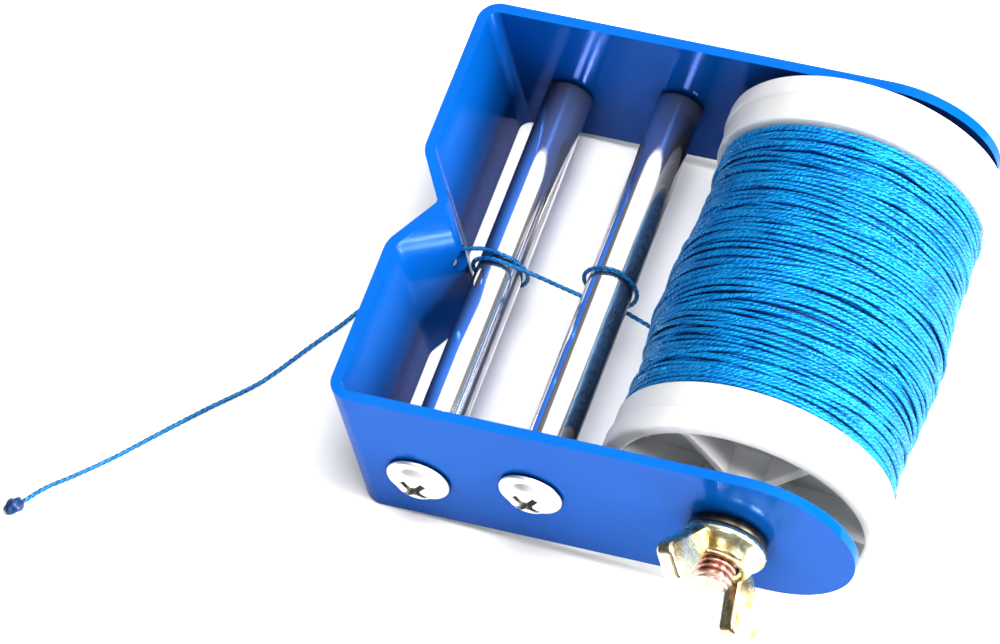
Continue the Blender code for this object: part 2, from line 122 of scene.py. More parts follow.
class Nodes:
    """Builds one material's node tree; a value may be a number, a colour or another node's output."""

    def __init__(self, name):
        self.material = bpy.data.materials.new(name)
        self.material.use_nodes = True
        self.tree = self.material.node_tree
        self.shader = self.tree.nodes["Principled BSDF"]

    def node(self, kind, values=None, **settings):
        made = self.tree.nodes.new(kind)
        for key, value in settings.items():
            setattr(made, key, value)
        for key, value in (values or {}).items():
            if hasattr(value, "is_output"):
                self.tree.links.new(value, made.inputs[key])
            else:
                made.inputs[key].default_value = value
        return made

    def position(self, scale=(1.0, 1.0, 1.0)):
        coordinates = self.node("ShaderNodeTexCoord")
        mapping = self.node("ShaderNodeMapping", {"Vector": coordinates.outputs["Object"], "Scale": scale})
        return mapping.outputs["Vector"]

    def noise(self, vector, scale, detail=3.0, roughness=0.5):
        made = self.node("ShaderNodeTexNoise", {"Vector": vector, "Scale": scale, "Detail": detail,
                                                "Roughness": roughness})
        return made.outputs["Fac"]

    def ramp(self, fac, stops):
        made = self.node("ShaderNodeValToRGB", {"Fac": fac})
        ramp = made.color_ramp
        while len(ramp.elements) < len(stops):
            ramp.elements.new(0.5)
        for element, (place, colour) in zip(ramp.elements, stops):
            element.position = place
            element.color = (*colour, 1.0) if isinstance(colour, tuple) else (colour, colour, colour, 1.0)
        return made.outputs["Color"]

    def math(self, operation, a, b=0.0):
        made = self.node("ShaderNodeMath", {0: a, 1: b}, operation=operation)
        return made.outputs["Value"]

    def span(self, value, low, high):
        made = self.node("ShaderNodeMapRange", {"Value": value, "To Min": low, "To Max": high})
        return made.outputs["Result"]

    def mix(self, fac, a, b):
        made = self.node("ShaderNodeMix", data_type="RGBA", blend_type="MIX")
        for key, value in ((0, fac), (6, a), (7, b)):
            if hasattr(value, "is_output"):
                self.tree.links.new(value, made.inputs[key])
            else:
                made.inputs[key].default_value = (*value, 1.0) if isinstance(value, tuple) else value
        return made.outputs[2]

    def bump(self, height, strength, distance):
        values = {"Height": height, "Strength": strength, "Distance": distance}
        return self.node("ShaderNodeBump", values).outputs["Normal"]

    def painted_shade_mask(self, distance, low, high, samples=8, only_local=False):
        """A mask for painted shade: 0 where other surfaces lie within the distance of a spot, up to 1 where
        it is open.
        """
        found = self.node("ShaderNodeAmbientOcclusion", {"Distance": distance}, samples=samples,
                          only_local=only_local)
        return self.ramp(found.outputs["AO"], [(low, 0.0), (high, 1.0)])

    def finish(self, **inputs):
        for key, value in inputs.items():
            socket = self.shader.inputs[key.replace("_", " ")]
            if hasattr(value, "is_output"):
                self.tree.links.new(value, socket)
            else:
                is_colour = socket.type == "RGBA"
                socket.default_value = (*value, 1.0) if is_colour else value
        return self.material


def blue_paint(name, gloss):
    """Blue enamel with painted shade, a near-black blue, in corners close to other surfaces; the gloss is
    the clear coat's weight.
    """
    n = Nodes(name)
    where = n.position()
    slow = n.noise(where, 60.0, 2.0)
    fine = n.noise(where, 900.0, 2.0)
    colour = n.ramp(slow, [(0.3, (0.0006, 0.084, 0.395)), (0.7, (0.0010, 0.095, 0.435))])
    # painted shade: near-black blue where nearby surfaces close in on the paint
    colour = n.mix(n.painted_shade_mask(0.022, 0.25, 0.80), (0.0004, 0.014, 0.075), colour)
    peel = n.bump(n.noise(where, 420.0, 1.0), 0.05, 0.0004)
    return n.finish(Base_Color=colour, Metallic=0.20, Roughness=n.span(fine, 0.12, 0.22),
                    IOR=1.09, Specular_Tint=(0.10, 0.42, 1.0), Normal=peel,
                    Coat_Weight=gloss, Coat_Roughness=0.08, Coat_IOR=1.6)


def chrome():
    """Polished steel with faint turning marks, and painted shade near the arms and other close surfaces."""
    n = Nodes("polished_rod")
    rings = n.noise(n.position((1.0, 40.0, 1.0)), 300.0, 2.0)
    smudge = n.noise(n.position(), 90.0, 3.0)
    rough = n.math("ADD", n.span(rings, 0.01, 0.05), n.span(smudge, 0.03, 0.08))
    colour = n.ramp(smudge, [(0.3, (0.88, 0.85, 0.86)), (0.8, (0.94, 0.91, 0.92))])
    # painted shade: dark grey where the arms and other surfaces are close
    colour = n.mix(n.painted_shade_mask(0.013, 0.28, 0.76), (0.16, 0.15, 0.15), colour)
    return n.finish(Base_Color=colour, Metallic=0.96, Roughness=rough,
                    Normal=n.bump(rings, 0.03, 0.0001))


def bright_zinc():
    """The screw heads' plating."""
    n = Nodes("bright_zinc")
    where = n.position()
    cloud = n.noise(where, 500.0, 4.0)
    colour = n.ramp(cloud, [(0.3, (0.92, 0.93, 0.92)), (0.7, (0.98, 0.98, 0.97))])
    return n.finish(Base_Color=colour, Metallic=1.0, Roughness=n.span(cloud, 0.34, 0.52),
                    Normal=n.bump(n.noise(where, 2500.0, 2.0), 0.08, 0.0001))


def zinc_recess_shade():
    """Painted shade in the screws' cross recesses: the plating darkened to grey."""
    n = Nodes("zinc_painted_recess_shade")
    cloud = n.noise(n.position(), 900.0, 3.0)
    # painted shade: dark grey in place of the bright plating
    colour = n.ramp(cloud, [(0.3, (0.22, 0.22, 0.19)), (0.7, (0.42, 0.42, 0.38))])
    return n.finish(Base_Color=colour, Metallic=1.0, Roughness=n.span(cloud, 0.35, 0.5))


def yellow_zinc():
    """Iridescent yellow passivate: patches of brown, straw, green and pink."""
    n = Nodes("yellow_zinc")
    where = n.position()
    cloud = n.noise(where, 230.0, 3.0, 0.6)
    colour = n.ramp(cloud, [(0.30, (0.34, 0.20, 0.07)), (0.42, (0.60, 0.46, 0.20)),
                            (0.52, (0.78, 0.73, 0.50)), (0.62, (0.66, 0.69, 0.42)),
                            (0.74, (0.74, 0.48, 0.31))])
    fine = n.noise(where, 1500.0, 3.0)
    return n.finish(Base_Color=colour, Metallic=1.0, Roughness=n.span(fine, 0.16, 0.34),
                    Normal=n.bump(fine, 0.10, 0.0002))


def washer_zinc_shade():
    """The washer's plating, painted near black as the shade under the nut's base."""
    n = Nodes("washer_zinc_shade")
    cloud = n.noise(n.position(), 400.0, 3.0)
    # painted shade: near-black over the whole washer
    colour = n.ramp(cloud, [(0.3, (0.020, 0.018, 0.014)), (0.7, (0.085, 0.070, 0.045))])
    return n.finish(Base_Color=colour, Metallic=1.0, Roughness=n.span(cloud, 0.30, 0.48))


def copper_zinc():
    """The bolt's pinkish passivate, with painted shade, a dark red, in the thread's grooves."""
    n = Nodes("pinkish_passivate")
    where = n.position()
    cloud = n.noise(where, 330.0, 3.0)
    colour = n.ramp(cloud, [(0.3, (0.50, 0.30, 0.24)), (0.6, (0.60, 0.42, 0.36)), (0.8, (0.64, 0.52, 0.44))])
    # painted shade: dark red deep in the thread's grooves
    colour = n.mix(n.painted_shade_mask(0.0007, 0.45, 0.85, only_local=True), (0.20, 0.030, 0.014), colour)
    return n.finish(Base_Color=colour, Metallic=1.0, Roughness=n.span(cloud, 0.22, 0.38),
                    Normal=n.bump(n.noise(where, 1800.0, 2.0), 0.10, 0.0001))


def white_plastic():
    """Moulded plastic that lets some light through, so the cups aren't black inside."""
    n = Nodes("white_moulding")
    where = n.position()
    slow = n.noise(where, 70.0, 2.0)
    fine = n.noise(where, 1400.0, 3.0)
    colour = n.ramp(slow, [(0.3, (0.58, 0.585, 0.585)), (0.7, (0.62, 0.62, 0.615))])
    return n.finish(Base_Color=colour, Roughness=n.span(fine, 0.34, 0.46), Subsurface_Weight=0.55,
                    Subsurface_Radius=(0.95, 1.0, 0.97), Subsurface_Scale=0.004,
                    Normal=n.bump(fine, 0.06, 0.0001))


def thread(name, dark, middle, light):
    """Twisted waxed thread with painted shade between strands; the strand's own map runs (mm along it, turns
    around it).
    """
    n = Nodes(name)
    along = n.node("ShaderNodeUVMap", uv_map="strand").outputs["UV"]
    split = n.node("ShaderNodeSeparateXYZ", {"Vector": along})
    twist = n.math("ADD", n.math("MULTIPLY", split.outputs["X"], 0.95),
                   n.math("MULTIPLY", split.outputs["Y"], 3.0))
    slack = n.noise(n.position(), 420.0, 2.0)
    twist = n.math("ADD", twist, n.math("MULTIPLY", slack, 3.0))
    ply = n.math("PINGPONG", twist, 0.5)
    ply = n.span(ply, 0.0, 2.0)
    stretched = n.node("ShaderNodeMapping", {"Vector": along, "Scale": (1.0, 9.0, 1.0)}).outputs["Vector"]
    fibre = n.noise(stretched, 1.5, 3.0, 0.7)
    cloud = n.noise(n.position(), 260.0, 3.0)
    fleck = n.noise(n.position(), 1300.0, 2.0)
    fac = n.math("ADD", n.math("MULTIPLY", ply, 0.30), n.math("MULTIPLY", fibre, 0.42))
    fac = n.math("ADD", fac, n.math("MULTIPLY", cloud, 0.33))
    colour = n.ramp(fac, [(0.26, dark), (0.52, middle), (0.86, light)])
    height = n.math("ADD", ply, n.math("MULTIPLY", fibre, 0.8))
    # painted shade: the dark colour where neighbouring strands close in
    colour = n.mix(n.painted_shade_mask(0.0009, 0.30, 0.85, samples=6, only_local=True), dark, colour)
    gloss = n.ramp(fleck, [(0.40, 0.52), (0.56, 0.20)])
    return n.finish(Base_Color=colour, Metallic=0.30, Roughness=gloss, Specular_IOR_Level=0.75,
                    Specular_Tint=(0.28, 0.95, 1.0), Normal=n.bump(height, 0.60, 0.00013))


# Dark navy for the melted end; the pack's core wears it too, as painted shade.
def melted_thread():
    n = Nodes("melted_thread")
    cloud = n.noise(n.position(), 900.0, 3.0)
    colour = n.ramp(cloud, [(0.35, (0.001, 0.010, 0.050)), (0.6, (0.001, 0.030, 0.14)),
                            (0.8, (0.003, 0.08, 0.27))])
    return n.finish(Base_Color=colour, Roughness=n.span(cloud, 0.25, 0.5),
                    Normal=n.bump(cloud, 0.4, 0.0003))


def floor_white():
    n = Nodes("studio_floor")
    cloud = n.noise(n.position(), 3.0, 2.0)
    return n.finish(Base_Color=n.ramp(cloud, [(0.3, 0.86), (0.7, 0.89)]),
                    Roughness=n.span(cloud, 0.85, 0.9))


# ---------------------------------------------------------------- mesh helpers

def raw_object(name, verts, faces, matrix=Matrix.Identity(4)):
    """A loose object from points of the strap's frame; its faces are turned outward."""
    mesh = bpy.data.meshes.new(name)
    mesh.from_pydata([tuple(matrix @ Vector(v)) for v in verts], [], faces)
    bm = bmesh.new()
    bm.from_mesh(mesh)
    bmesh.ops.recalc_face_normals(bm, faces=bm.faces)
    bm.to_mesh(mesh)
    bm.free()
    obj = bpy.data.objects.new(name, mesh)
    bpy.context.scene.collection.objects.link(obj)
    return obj


def lathe(name, profile, steps, matrix=Matrix.Identity(4), closed=False, radius_at=None):
    """Turn (radius, height) about Z; radius_at(radius, angle, height) may vary it round the turn."""
    verts = []
    rings = []
    for radius, height in profile:
        if radius == 0:
            rings.append([len(verts)])
            verts.append((0.0, 0.0, height))
            continue
        ring = []
        for i in range(steps):
            angle = math.tau * i / steps
            r = radius_at(radius, angle, height) if radius_at else radius
            ring.append(len(verts))
            verts.append((r * math.cos(angle), r * math.sin(angle), height))
        rings.append(ring)
    pairs = list(zip(rings, rings[1:]))
    if closed:
        pairs.append((rings[-1], rings[0]))
    faces = []
    for a, b in pairs:
        for i in range(steps):
            j = (i + 1) % steps
            if len(a) == 1:
                faces.append((a[0], b[i], b[j]))
            elif len(b) == 1:
                faces.append((a[i], b[0], a[j]))
            else:
                faces.append((a[i], b[i], b[j], a[j]))
    return raw_object(name, verts, faces, matrix)


def slab(name, outline, thickness, matrix=Matrix.Identity(4)):
    """A plate with an outline of (x, z), centred on Y = 0."""
    half = thickness / 2
    count = len(outline)
    verts = [(x, -half, z) for x, z in outline] + [(x, half, z) for x, z in outline]
    faces = [tuple(range(count)), tuple(range(2 * count - 1, count - 1, -1))]
    faces += [(i, (i + 1) % count, count + (i + 1) % count, count + i) for i in range(count)]
    return raw_object(name, verts, faces, matrix)


def apply_modifiers(obj):
    evaluated = obj.evaluated_get(bpy.context.evaluated_depsgraph_get())
    mesh = bpy.data.meshes.new_from_object(evaluated)
    obj.modifiers.clear()
    obj.data = mesh


def combine(obj, others, operation):
    """Cut the others from the object, join them or keep what is shared, and delete the others."""
    for other in others:
        boolean = obj.modifiers.new("cut", "BOOLEAN")
        boolean.operation = operation
        boolean.object = other
        boolean.solver = "EXACT"
        boolean.material_mode = "TRANSFER"
    apply_modifiers(obj)
    for other in others:
        bpy.data.objects.remove(other, do_unlink=True)


def soften(obj, width, segments=3, angle=40.0, slot=-1):
    """Round the sharp edges; a slot gives the rounds their own material."""
    bevel = obj.modifiers.new("soften", "BEVEL")
    bevel.width = width
    bevel.segments = segments
    bevel.limit_method = "ANGLE"
    bevel.angle_limit = math.radians(angle)
    bevel.use_clamp_overlap = True
    bevel.material = slot
    apply_modifiers(obj)


def stand_up(obj, material, body, nodes, sharp, weighted=False):
    """Take a piece from the strap's frame to the standing one; no material means it has its own."""
    obj.data.transform(STRAP)
    obj.data.shade_smooth()
    obj.data.set_sharp_from_angle(angle=math.radians(sharp))
    if weighted:
        normals = obj.modifiers.new("flats", "WEIGHTED_NORMAL")
        normals.keep_sharp = True
        normals.weight = 100
    if material:
        obj.data.materials.clear()
        obj.data.materials.append(material)
    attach(obj, body)
    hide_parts(*nodes)


def solid_cylinder(name, radius, low, high, steps, matrix):
    return lathe(name, [(0, high), (radius, high), (radius, low), (0, low)], steps, matrix)


def at(x, y, z, turn=Matrix.Identity(4)):
    return Matrix.Translation((x, y, z)) @ turn


def arc(centre, radius, start, end, count):
    points = []
    for i in range(count + 1):
        angle = start + (end - start) * i / count
        points.append((centre[0] + radius * math.cos(angle), centre[1] + radius * math.sin(angle)))
    return points


def round_corner(before, corner, after, radius, count):
    """An arc of this radius that fits the corner between its two neighbours."""
    into = (Vector(corner) - Vector(before)).normalized()
    out = (Vector(after) - Vector(corner)).normalized()
    turn = into.angle_signed(out)
    trim = radius * math.tan(abs(turn) / 2)
    side = math.copysign(1.0, -turn)
    start = Vector(corner) - into * trim
    centre = start + Vector((-into.y, into.x)) * radius * side
    first = math.atan2(start.y - centre.y, start.x - centre.x)
    return arc(centre, radius, first, first - turn, count)


# ---------------------------------------------------------------- strap

def strap_middle():
    """The strap's middle line from above, from the near arm's end round the web to the far arm's."""
    half = STRAP_THICK / 2
    arm_y = FRAME_HALF - half
    slope = math.atan2(NOTCH_DEPTH, NOTCH_HALF)
    apex_x = NOTCH_DEPTH + half / math.cos(slope)
    knee_y = (apex_x - half) / math.tan(slope)
    corners = [(ARM_STRAIGHT, -arm_y), (half, -arm_y), (half, -knee_y), (apex_x, 0.0),
               (half, knee_y), (half, arm_y), (ARM_STRAIGHT, arm_y)]
    radii = [BEND_RADIUS - half, KNEE_RADIUS - half, APEX_RADIUS + half, KNEE_RADIUS - half,
             BEND_RADIUS - half]
    path = [corners[0]]
    for i, radius in enumerate(radii):
        path += round_corner(corners[i], corners[i + 1], corners[i + 2], radius, 14)
    path.append(corners[-1])
    return [Vector(point) for point in path]


def strap_faces(middle):
    """The inner and outer face's lines, half the strap's thickness to either side."""
    half = STRAP_THICK / 2
    inner = []
    outer = []
    for i, point in enumerate(middle):
        into = (point - middle[i - 1]).normalized() if i else (middle[1] - point).normalized()
        out = (middle[i + 1] - point).normalized() if i + 1 < len(middle) else into
        along = (into + out).normalized()
        reach = half / max(along.dot(into), 0.2)
        across = Vector((-along.y, along.x)) * reach
        inner.append(point - across)
        outer.append(point + across)
    return inner, outer


def round_end(inner_y, outer_y):
    """Columns of an arm's round end, from near its tip to where the straight part starts."""
    steps = 28
    columns = []
    for k in range(1, steps):
        angle = math.pi / 2 * (1 - k / steps)
        x = ARM_STRAIGHT + MIDLINE * math.sin(angle)
        reach = MIDLINE * math.cos(angle)
        columns.append(((x, inner_y), (x, outer_y), MIDLINE - reach, MIDLINE + reach))
    return columns


def strap_blank():
    """The bent strap without its holes, as columns of four points: two faces, low and high."""
    inner, outer = strap_faces(strap_middle())
    columns = round_end(inner[0].y, outer[0].y)
    for a, b in zip(inner, outer):
        columns.append((tuple(a), tuple(b), 0.0, STRAP_WIDTH))
    columns += reversed(round_end(inner[-1].y, outer[-1].y))
    verts = []
    for (ax, ay), (bx, by), low, high in columns:
        verts += [(ax, ay, low), (bx, by, low), (bx, by, high), (ax, ay, high)]
    faces = []
    for i in range(len(columns) - 1):
        a, b = 4 * i, 4 * (i + 1)
        for j in range(4):
            k = (j + 1) % 4
            faces.append((a + j, a + k, b + k, b + j))
    tip_x = ARM_STRAIGHT + MIDLINE
    for index, column in ((0, columns[0]), (4 * (len(columns) - 1), columns[-1])):
        one = len(verts)
        verts += [(tip_x, column[0][1], MIDLINE), (tip_x, column[1][1], MIDLINE)]
        faces += [(index, one, index + 3), (index + 1, index + 2, one + 1),
                  (index, index + 1, one + 1, one), (index + 3, one, one + 1, index + 2)]
    strap = raw_object("jig_strap", verts, faces)
    # The flat arms become single faces, so the holes cut cleanly
    bm = bmesh.new()
    bm.from_mesh(strap.data)
    bmesh.ops.dissolve_limit(bm, angle_limit=math.radians(0.5), verts=bm.verts, edges=bm.edges)
    bm.to_mesh(strap.data)
    bm.free()
    return strap


def make_strap(material, edge_material):
    strap = strap_blank()
    reach = FRAME_HALF + 2.0
    cutters = [solid_cylinder("cut_" + place, ARM_HOLE_R, -reach, reach, 48, at(x, 0, z, NEAR))
               for place, (x, z) in ROD_AXES.items()]
    cutters.append(solid_cylinder("cut_axle", BOLT_HOLE_R, -reach, reach, 48, at(AXLE_X, 0, MIDLINE, NEAR)))
    along_x = Matrix.Rotation(math.pi / 2, 4, "Y")
    cutters.append(solid_cylinder("cut_thread", THREAD_HOLE_R, -8, 8, 40,
                                  at(NOTCH_DEPTH, 0, MIDLINE, along_x)))
    for piece in [strap, *cutters]:
        piece.data.materials.append(material)
    combine(strap, cutters, "DIFFERENCE")
    strap.data.materials.append(edge_material)
    soften(strap, 0.42, 4, 50.0, slot=1)
    stand_up(strap, None, "frame", ["strap_frame"], 60.0, weighted=True)


# ---------------------------------------------------------------- rods and screws

def make_rod(place, material):
    """A rod with a tapped hole in each end and rounded rims."""
    end = ARM_INNER - GAP
    floor = end - TAP_DEPTH
    half = [(0, floor - 1.1), (TAP_RADIUS - 0.1, floor), (TAP_RADIUS, end - 0.2),
            (TAP_RADIUS + 0.2, end), (ROD_RADIUS - 0.45, end),
            (ROD_RADIUS - 0.12, end - 0.2), (ROD_RADIUS, end - 0.55)]
    profile = half + [(radius, -height) for radius, height in reversed(half)]
    x, z = ROD_AXES[place]
    rod = lathe("rod_" + place, profile, 96, at(x, 0, z, NEAR))
    stand_up(rod, material, "frame", ["guide_rod_" + place], 30.0)


def make_screw(place, side, material, recess):
    """Truss head: a thin rim, a step and a low dome with a cross recess of tapering wings."""
    head = [(0, SCREW_HEAD_H), (0.8, 2.29), (1.6, 2.2), (2.3, 2.02), (2.9, 1.74), (3.35, 1.4),
            (3.65, 1.05), (3.85, 0.82), (4.1, 0.72), (4.5, 0.66), (4.74, 0.52), (4.85, 0.3),
            (4.82, 0.08), (4.7, 0.0)]
    shank = [(SCREW_RADIUS, 0.0), (SCREW_RADIUS, 0.5 - SCREW_REACH), (SCREW_RADIUS - 0.5, -SCREW_REACH),
             (0, -SCREW_REACH)]
    profile = [(radius, GAP + height) for radius, height in head + shank]
    x, z = ROD_AXES[place]
    sign, turn = (-1, NEAR) if side == "near" else (1, FAR)
    home = at(x, sign * FRAME_HALF, z, turn)
    screw = lathe(f"screw_{place}_{side}", profile, 72, home)
    top = GAP + SCREW_HEAD_H
    floor = top - SCREW_RECESS
    outline = [(-2.5, top + 1), (-2.35, top - 0.35), (-1.9, top - 0.75), (-0.5, floor), (0.5, floor),
               (1.9, top - 0.75), (2.35, top - 0.35), (2.5, top + 1)]
    slots = [slab(f"slot_{i}", outline, 1.05, home @ Matrix.Rotation(math.pi * quarter, 4, "Z"))
             for i, quarter in enumerate((0.25, 0.75))]
    well_profile = [(0, top + 1), (1.35, top + 1), (1.15, top - 0.4), (0.3, floor - 0.15),
                    (0, floor - 0.2)]
    well = lathe("well", well_profile, 4, home)
    screw.data.materials.append(material)
    for cutter in slots + [well]:
        # the recess faces take the painted-shade plating
        cutter.data.materials.append(recess)
    combine(screw, slots + [well], "DIFFERENCE")
    soften(screw, 0.09, 2, 40.0)
    stand_up(screw, None, "frame", [f"rod_screw_{place}_{side}"], 50.0, weighted=True)


# ---------------------------------------------------------------- axle bolt, washer and wing nut

def make_bolt(material):
    """A hexagon bolt with a rolled thread of 1 mm pitch and a chamfered tip."""
    tip = FRAME_HALF + BOLT_BEYOND
    start = FRAME_HALF - 9.0
    seat = FRAME_HALF + GAP
    pitch = 1.0
    depth = 0.58
    rings_per_turn = 14

    def thread_radius(radius, angle, height):
        if height < start - 0.01 or height > tip - 0.02:
            return radius
        phase = (height / pitch - angle / math.tau) % 1.0
        rise = 1 - abs(2 * phase - 1)
        groove = min(max((rise - 0.16) / 0.70, 0.0), 1.0)
        lead = min(max((height - start) / 0.8, 0.0), 1.0)
        chamfer = 2.25 + (tip - height) * 0.95
        return min(BOLT_RADIUS - depth * groove * lead, chamfer)

    top = tip - 0.1
    profile = [(0, tip), (2.05, tip), (2.28, top)]
    rings = int((tip - start) / (pitch / rings_per_turn))
    profile += [(BOLT_RADIUS, top - (top - start) * i / rings) for i in range(1, rings + 1)]
    profile += [(BOLT_RADIUS, -(seat + 0.6)), (0, -(seat + 0.6))]
    bolt = lathe("bolt", profile, 56, at(AXLE_X, 0, MIDLINE, NEAR), radius_at=thread_radius)
    corner = BOLT_HEAD_FLATS / math.sqrt(3)
    outline = arc((0.0, 0.0), corner, 0.0, math.tau * 5 / 6, 5)
    head = slab("bolt_head", outline, BOLT_HEAD_H, at(AXLE_X, seat + BOLT_HEAD_H / 2, MIDLINE))
    face = seat + BOLT_HEAD_H
    crown_profile = [(0, face), (4.75, face), (5.9, face - 0.62), (5.9, seat - 1), (0, seat - 1)]
    crown = lathe("bolt_crown", crown_profile, 96, at(AXLE_X, 0, MIDLINE, FAR))
    combine(head, [crown], "INTERSECT")
    soften(head, 0.12, 2, 35.0)
    combine(bolt, [head], "UNION")
    stand_up(bolt, material, "frame", ["axle_bolt"], 42.0)


def make_washer(material):
    low = FRAME_HALF + GAP
    high = low + WASHER_THICK
    rim = WASHER_RADIUS
    bore = BOLT_HOLE_R
    profile = [(bore, high - 0.15), (bore + 0.15, high), (rim - 0.25, high), (rim - 0.07, high - 0.07),
               (rim, high - 0.25), (rim, low + 0.2), (rim - 0.15, low), (bore + 0.1, low), (bore, low + 0.1)]
    washer = lathe("washer", profile, 96, at(AXLE_X, 0, MIDLINE, NEAR), closed=True)
    stand_up(washer, material, "washer_body", ["nut_washer"], 40.0)


def make_wing_nut(material):
    """A cold-formed wing nut: a domed collar and two petals with rolled edges."""
    home = at(AXLE_X, -NUT_SEAT, MIDLINE, NEAR @ Matrix.Rotation(WING_ANGLE, 4, "Z"))
    profile = [(NUT_BORE_R, NUT_HEIGHT - 0.35), (NUT_BORE_R + 0.4, NUT_HEIGHT), (4.35, NUT_HEIGHT),
               (4.75, NUT_HEIGHT - 0.2), (NUT_TOP_R + 0.05, NUT_HEIGHT - 0.6), (5.25, 2.5), (5.7, 1.9),
               (6.25, 1.35), (NUT_BASE_R, 0.9), (NUT_BASE_R, 0.35), (NUT_BASE_R - 0.2, 0.0),
               (NUT_BORE_R + 0.3, 0.0), (NUT_BORE_R, 0.3)]
    nut = lathe("wingnut", profile, 96, home, closed=True)
    outer_round = round_corner(WING_FOOT, WING_OUTER, WING_INNER, WING_ROUND, 9)
    inner_round = round_corner(WING_OUTER, WING_INNER, WING_NECK, WING_ROUND, 9)
    outline = [(WING_NECK[0], 0.9), WING_FOOT, *outer_round, *inner_round, WING_NECK]
    wings = []
    for side, label in ((1, "lower"), (-1, "upper")):
        wing = slab("wing_" + label, [(side * x, z) for x, z in outline], 2.9, home)
        soften(wing, 0.62, 4, 60.0)
        wings.append(wing)
    combine(nut, wings, "UNION")
    stand_up(nut, material, "nut_body", ["wing_nut"], 40.0, weighted=True)


# ---------------------------------------------------------------- spool

def make_spool(material):
    """A barrel and two flanges, each with a hub, a deep rim and ribs between them."""
    hub_end = ARM_INNER - GAP - 0.05
    disc = WOUND_HALF + DISC_THICK
    hub = [(HUB_BORE_R, hub_end - 0.3), (HUB_BORE_R + 0.3, hub_end), (6.2, hub_end), (6.5, hub_end - 0.1),
           (6.6, hub_end - 0.4), (6.75, disc + 0.8), (6.95, disc + 0.25), (7.4, disc)]
    cup = [(17.9, disc), (18.35, disc + 0.2), (18.5, disc + 0.6), (18.85, SPOOL_HALF - 0.35),
           (18.95, SPOOL_HALF - 0.1), (19.2, SPOOL_HALF)]
    rim = [(20.7, SPOOL_HALF), (21.1, SPOOL_HALF - 0.15), (21.38, SPOOL_HALF - 0.5),
           (FLANGE_RADIUS, SPOOL_HALF - 1.1), (FLANGE_RADIUS, 27.62), (21.42, 27.42), (21.16, 27.32)]
    flange = [(21.1, 27.15), (21.1, 23.25), (21.0, 23.0), (20.75, WOUND_HALF), (BARREL_RADIUS, WOUND_HALF)]
    half = hub + cup + rim + flange
    stub = WOUND_HALF - 1.4
    bore = [(HUB_BORE_R, -stub), (BARREL_BORE_R, -stub), (BARREL_BORE_R, stub), (HUB_BORE_R, stub)]
    profile = half + [(radius, -height) for radius, height in reversed(half)] + bore
    home = at(AXLE_X, 0, MIDLINE, NEAR)
    spool = lathe("spool_moulding", profile, 160, home, closed=True)
    ribs = []
    foot = disc - 0.5
    for end in (1, -1):
        outline = [(6.1, end * foot), (19.3, end * foot), (19.3, end * (SPOOL_HALF - 0.45)),
                   (18.2, end * (SPOOL_HALF - 0.5)), (6.1, end * (SPOOL_HALF - 1.4))]
        for i in range(RIB_COUNT):
            spin = Matrix.Rotation(RIB_START + math.tau * i / RIB_COUNT, 4, "Z")
            rib = slab("rib", outline, RIB_THICK, home @ spin)
            soften(rib, 0.25, 3, 40.0)
            ribs.append(rib)
    combine(spool, ribs, "UNION")
    stand_up(spool, material, "spool_body", ["spool"], 50.0, weighted=True)


# ---------------------------------------------------------------- wound thread

def tube_arrays(points, ups, radii, sides, first):
    """Vertices, faces and map corners of a tube along points; ups are the directions of its first side."""
    points = np.asarray(points, float)
    tangent = np.gradient(points, axis=0)
    tangent /= np.linalg.norm(tangent, axis=1, keepdims=True)
    ups = ups - (ups * tangent).sum(1, keepdims=True) * tangent
    ups /= np.linalg.norm(ups, axis=1, keepdims=True)
    across = np.cross(tangent, ups)
    angle = np.arange(sides) * math.tau / sides
    count = len(points)
    radii = np.broadcast_to(radii, (count, sides))
    verts = (points[:, None, :] + radii[..., None] * (np.cos(angle)[None, :, None] * ups[:, None, :]
                                                      + np.sin(angle)[None, :, None] * across[:, None, :]))
    i, j = np.meshgrid(np.arange(count - 1), np.arange(sides), indexing="ij")
    k = (j + 1) % sides
    faces = np.stack([i * sides + j, i * sides + k, (i + 1) * sides + k, (i + 1) * sides + j], -1)
    faces = faces.reshape(-1, 4) + first
    length = np.concatenate([[0.0], np.cumsum(np.linalg.norm(np.diff(points, axis=0), axis=1))])
    u0, u1 = length[i], length[i + 1]
    v0, v1 = j / sides, (j + 1) / sides
    corners = np.stack([np.stack([u0, v0], -1), np.stack([u0, v1], -1), np.stack([u1, v1], -1),
                        np.stack([u1, v0], -1)], -2).reshape(-1, 2)
    caps = [tuple(range(first + sides - 1, first - 1, -1)),
            tuple(range(first + (count - 1) * sides, first + count * sides))]
    return verts.reshape(-1, 3), faces, corners, caps


def strand_object(name, tubes):
    """One object from several tubes, with the strand map on it."""
    verts, faces, corners, caps = [], [], [], []
    first = 0
    for points, ups, radii, sides in tubes:
        v, f, c, ends = tube_arrays(points, ups, radii, sides, first)
        first += len(v)
        verts.append(v)
        faces.append(f)
        corners.append(c)
        caps += ends
    mesh = bpy.data.meshes.new(name)
    quads = np.concatenate(faces)
    mesh.from_pydata(np.concatenate(verts).tolist(), [], quads.tolist() + caps)
    layer = mesh.uv_layers.new(name="strand")
    flat = np.zeros((len(mesh.loops), 2), np.float32)
    flat[:len(quads) * 4] = np.concatenate(corners)
    layer.data.foreach_set("uv", flat.ravel())
    obj = bpy.data.objects.new(name, mesh)
    bpy.context.scene.collection.objects.link(obj)
    return obj


def pack_radius(height):
    """The wound pack's outer line, as in the CAD: it swells and dips."""
    swell = [(-22.0, 20.3), (-15.0, 20.2), (-9.0, 20.5), (-2.0, 21.2), (3.0, 21.3), (8.0, 21.3),
             (12.0, 20.8), (16.0, 20.4), (20.0, 20.7), (22.0, 20.9)]
    heights, radii = zip(*swell)
    smooth = np.interp(height, heights, radii)
    for shift in (-1.5, 1.5):
        smooth = smooth + np.interp(np.asarray(height) + shift, heights, radii)
    return smooth / 3


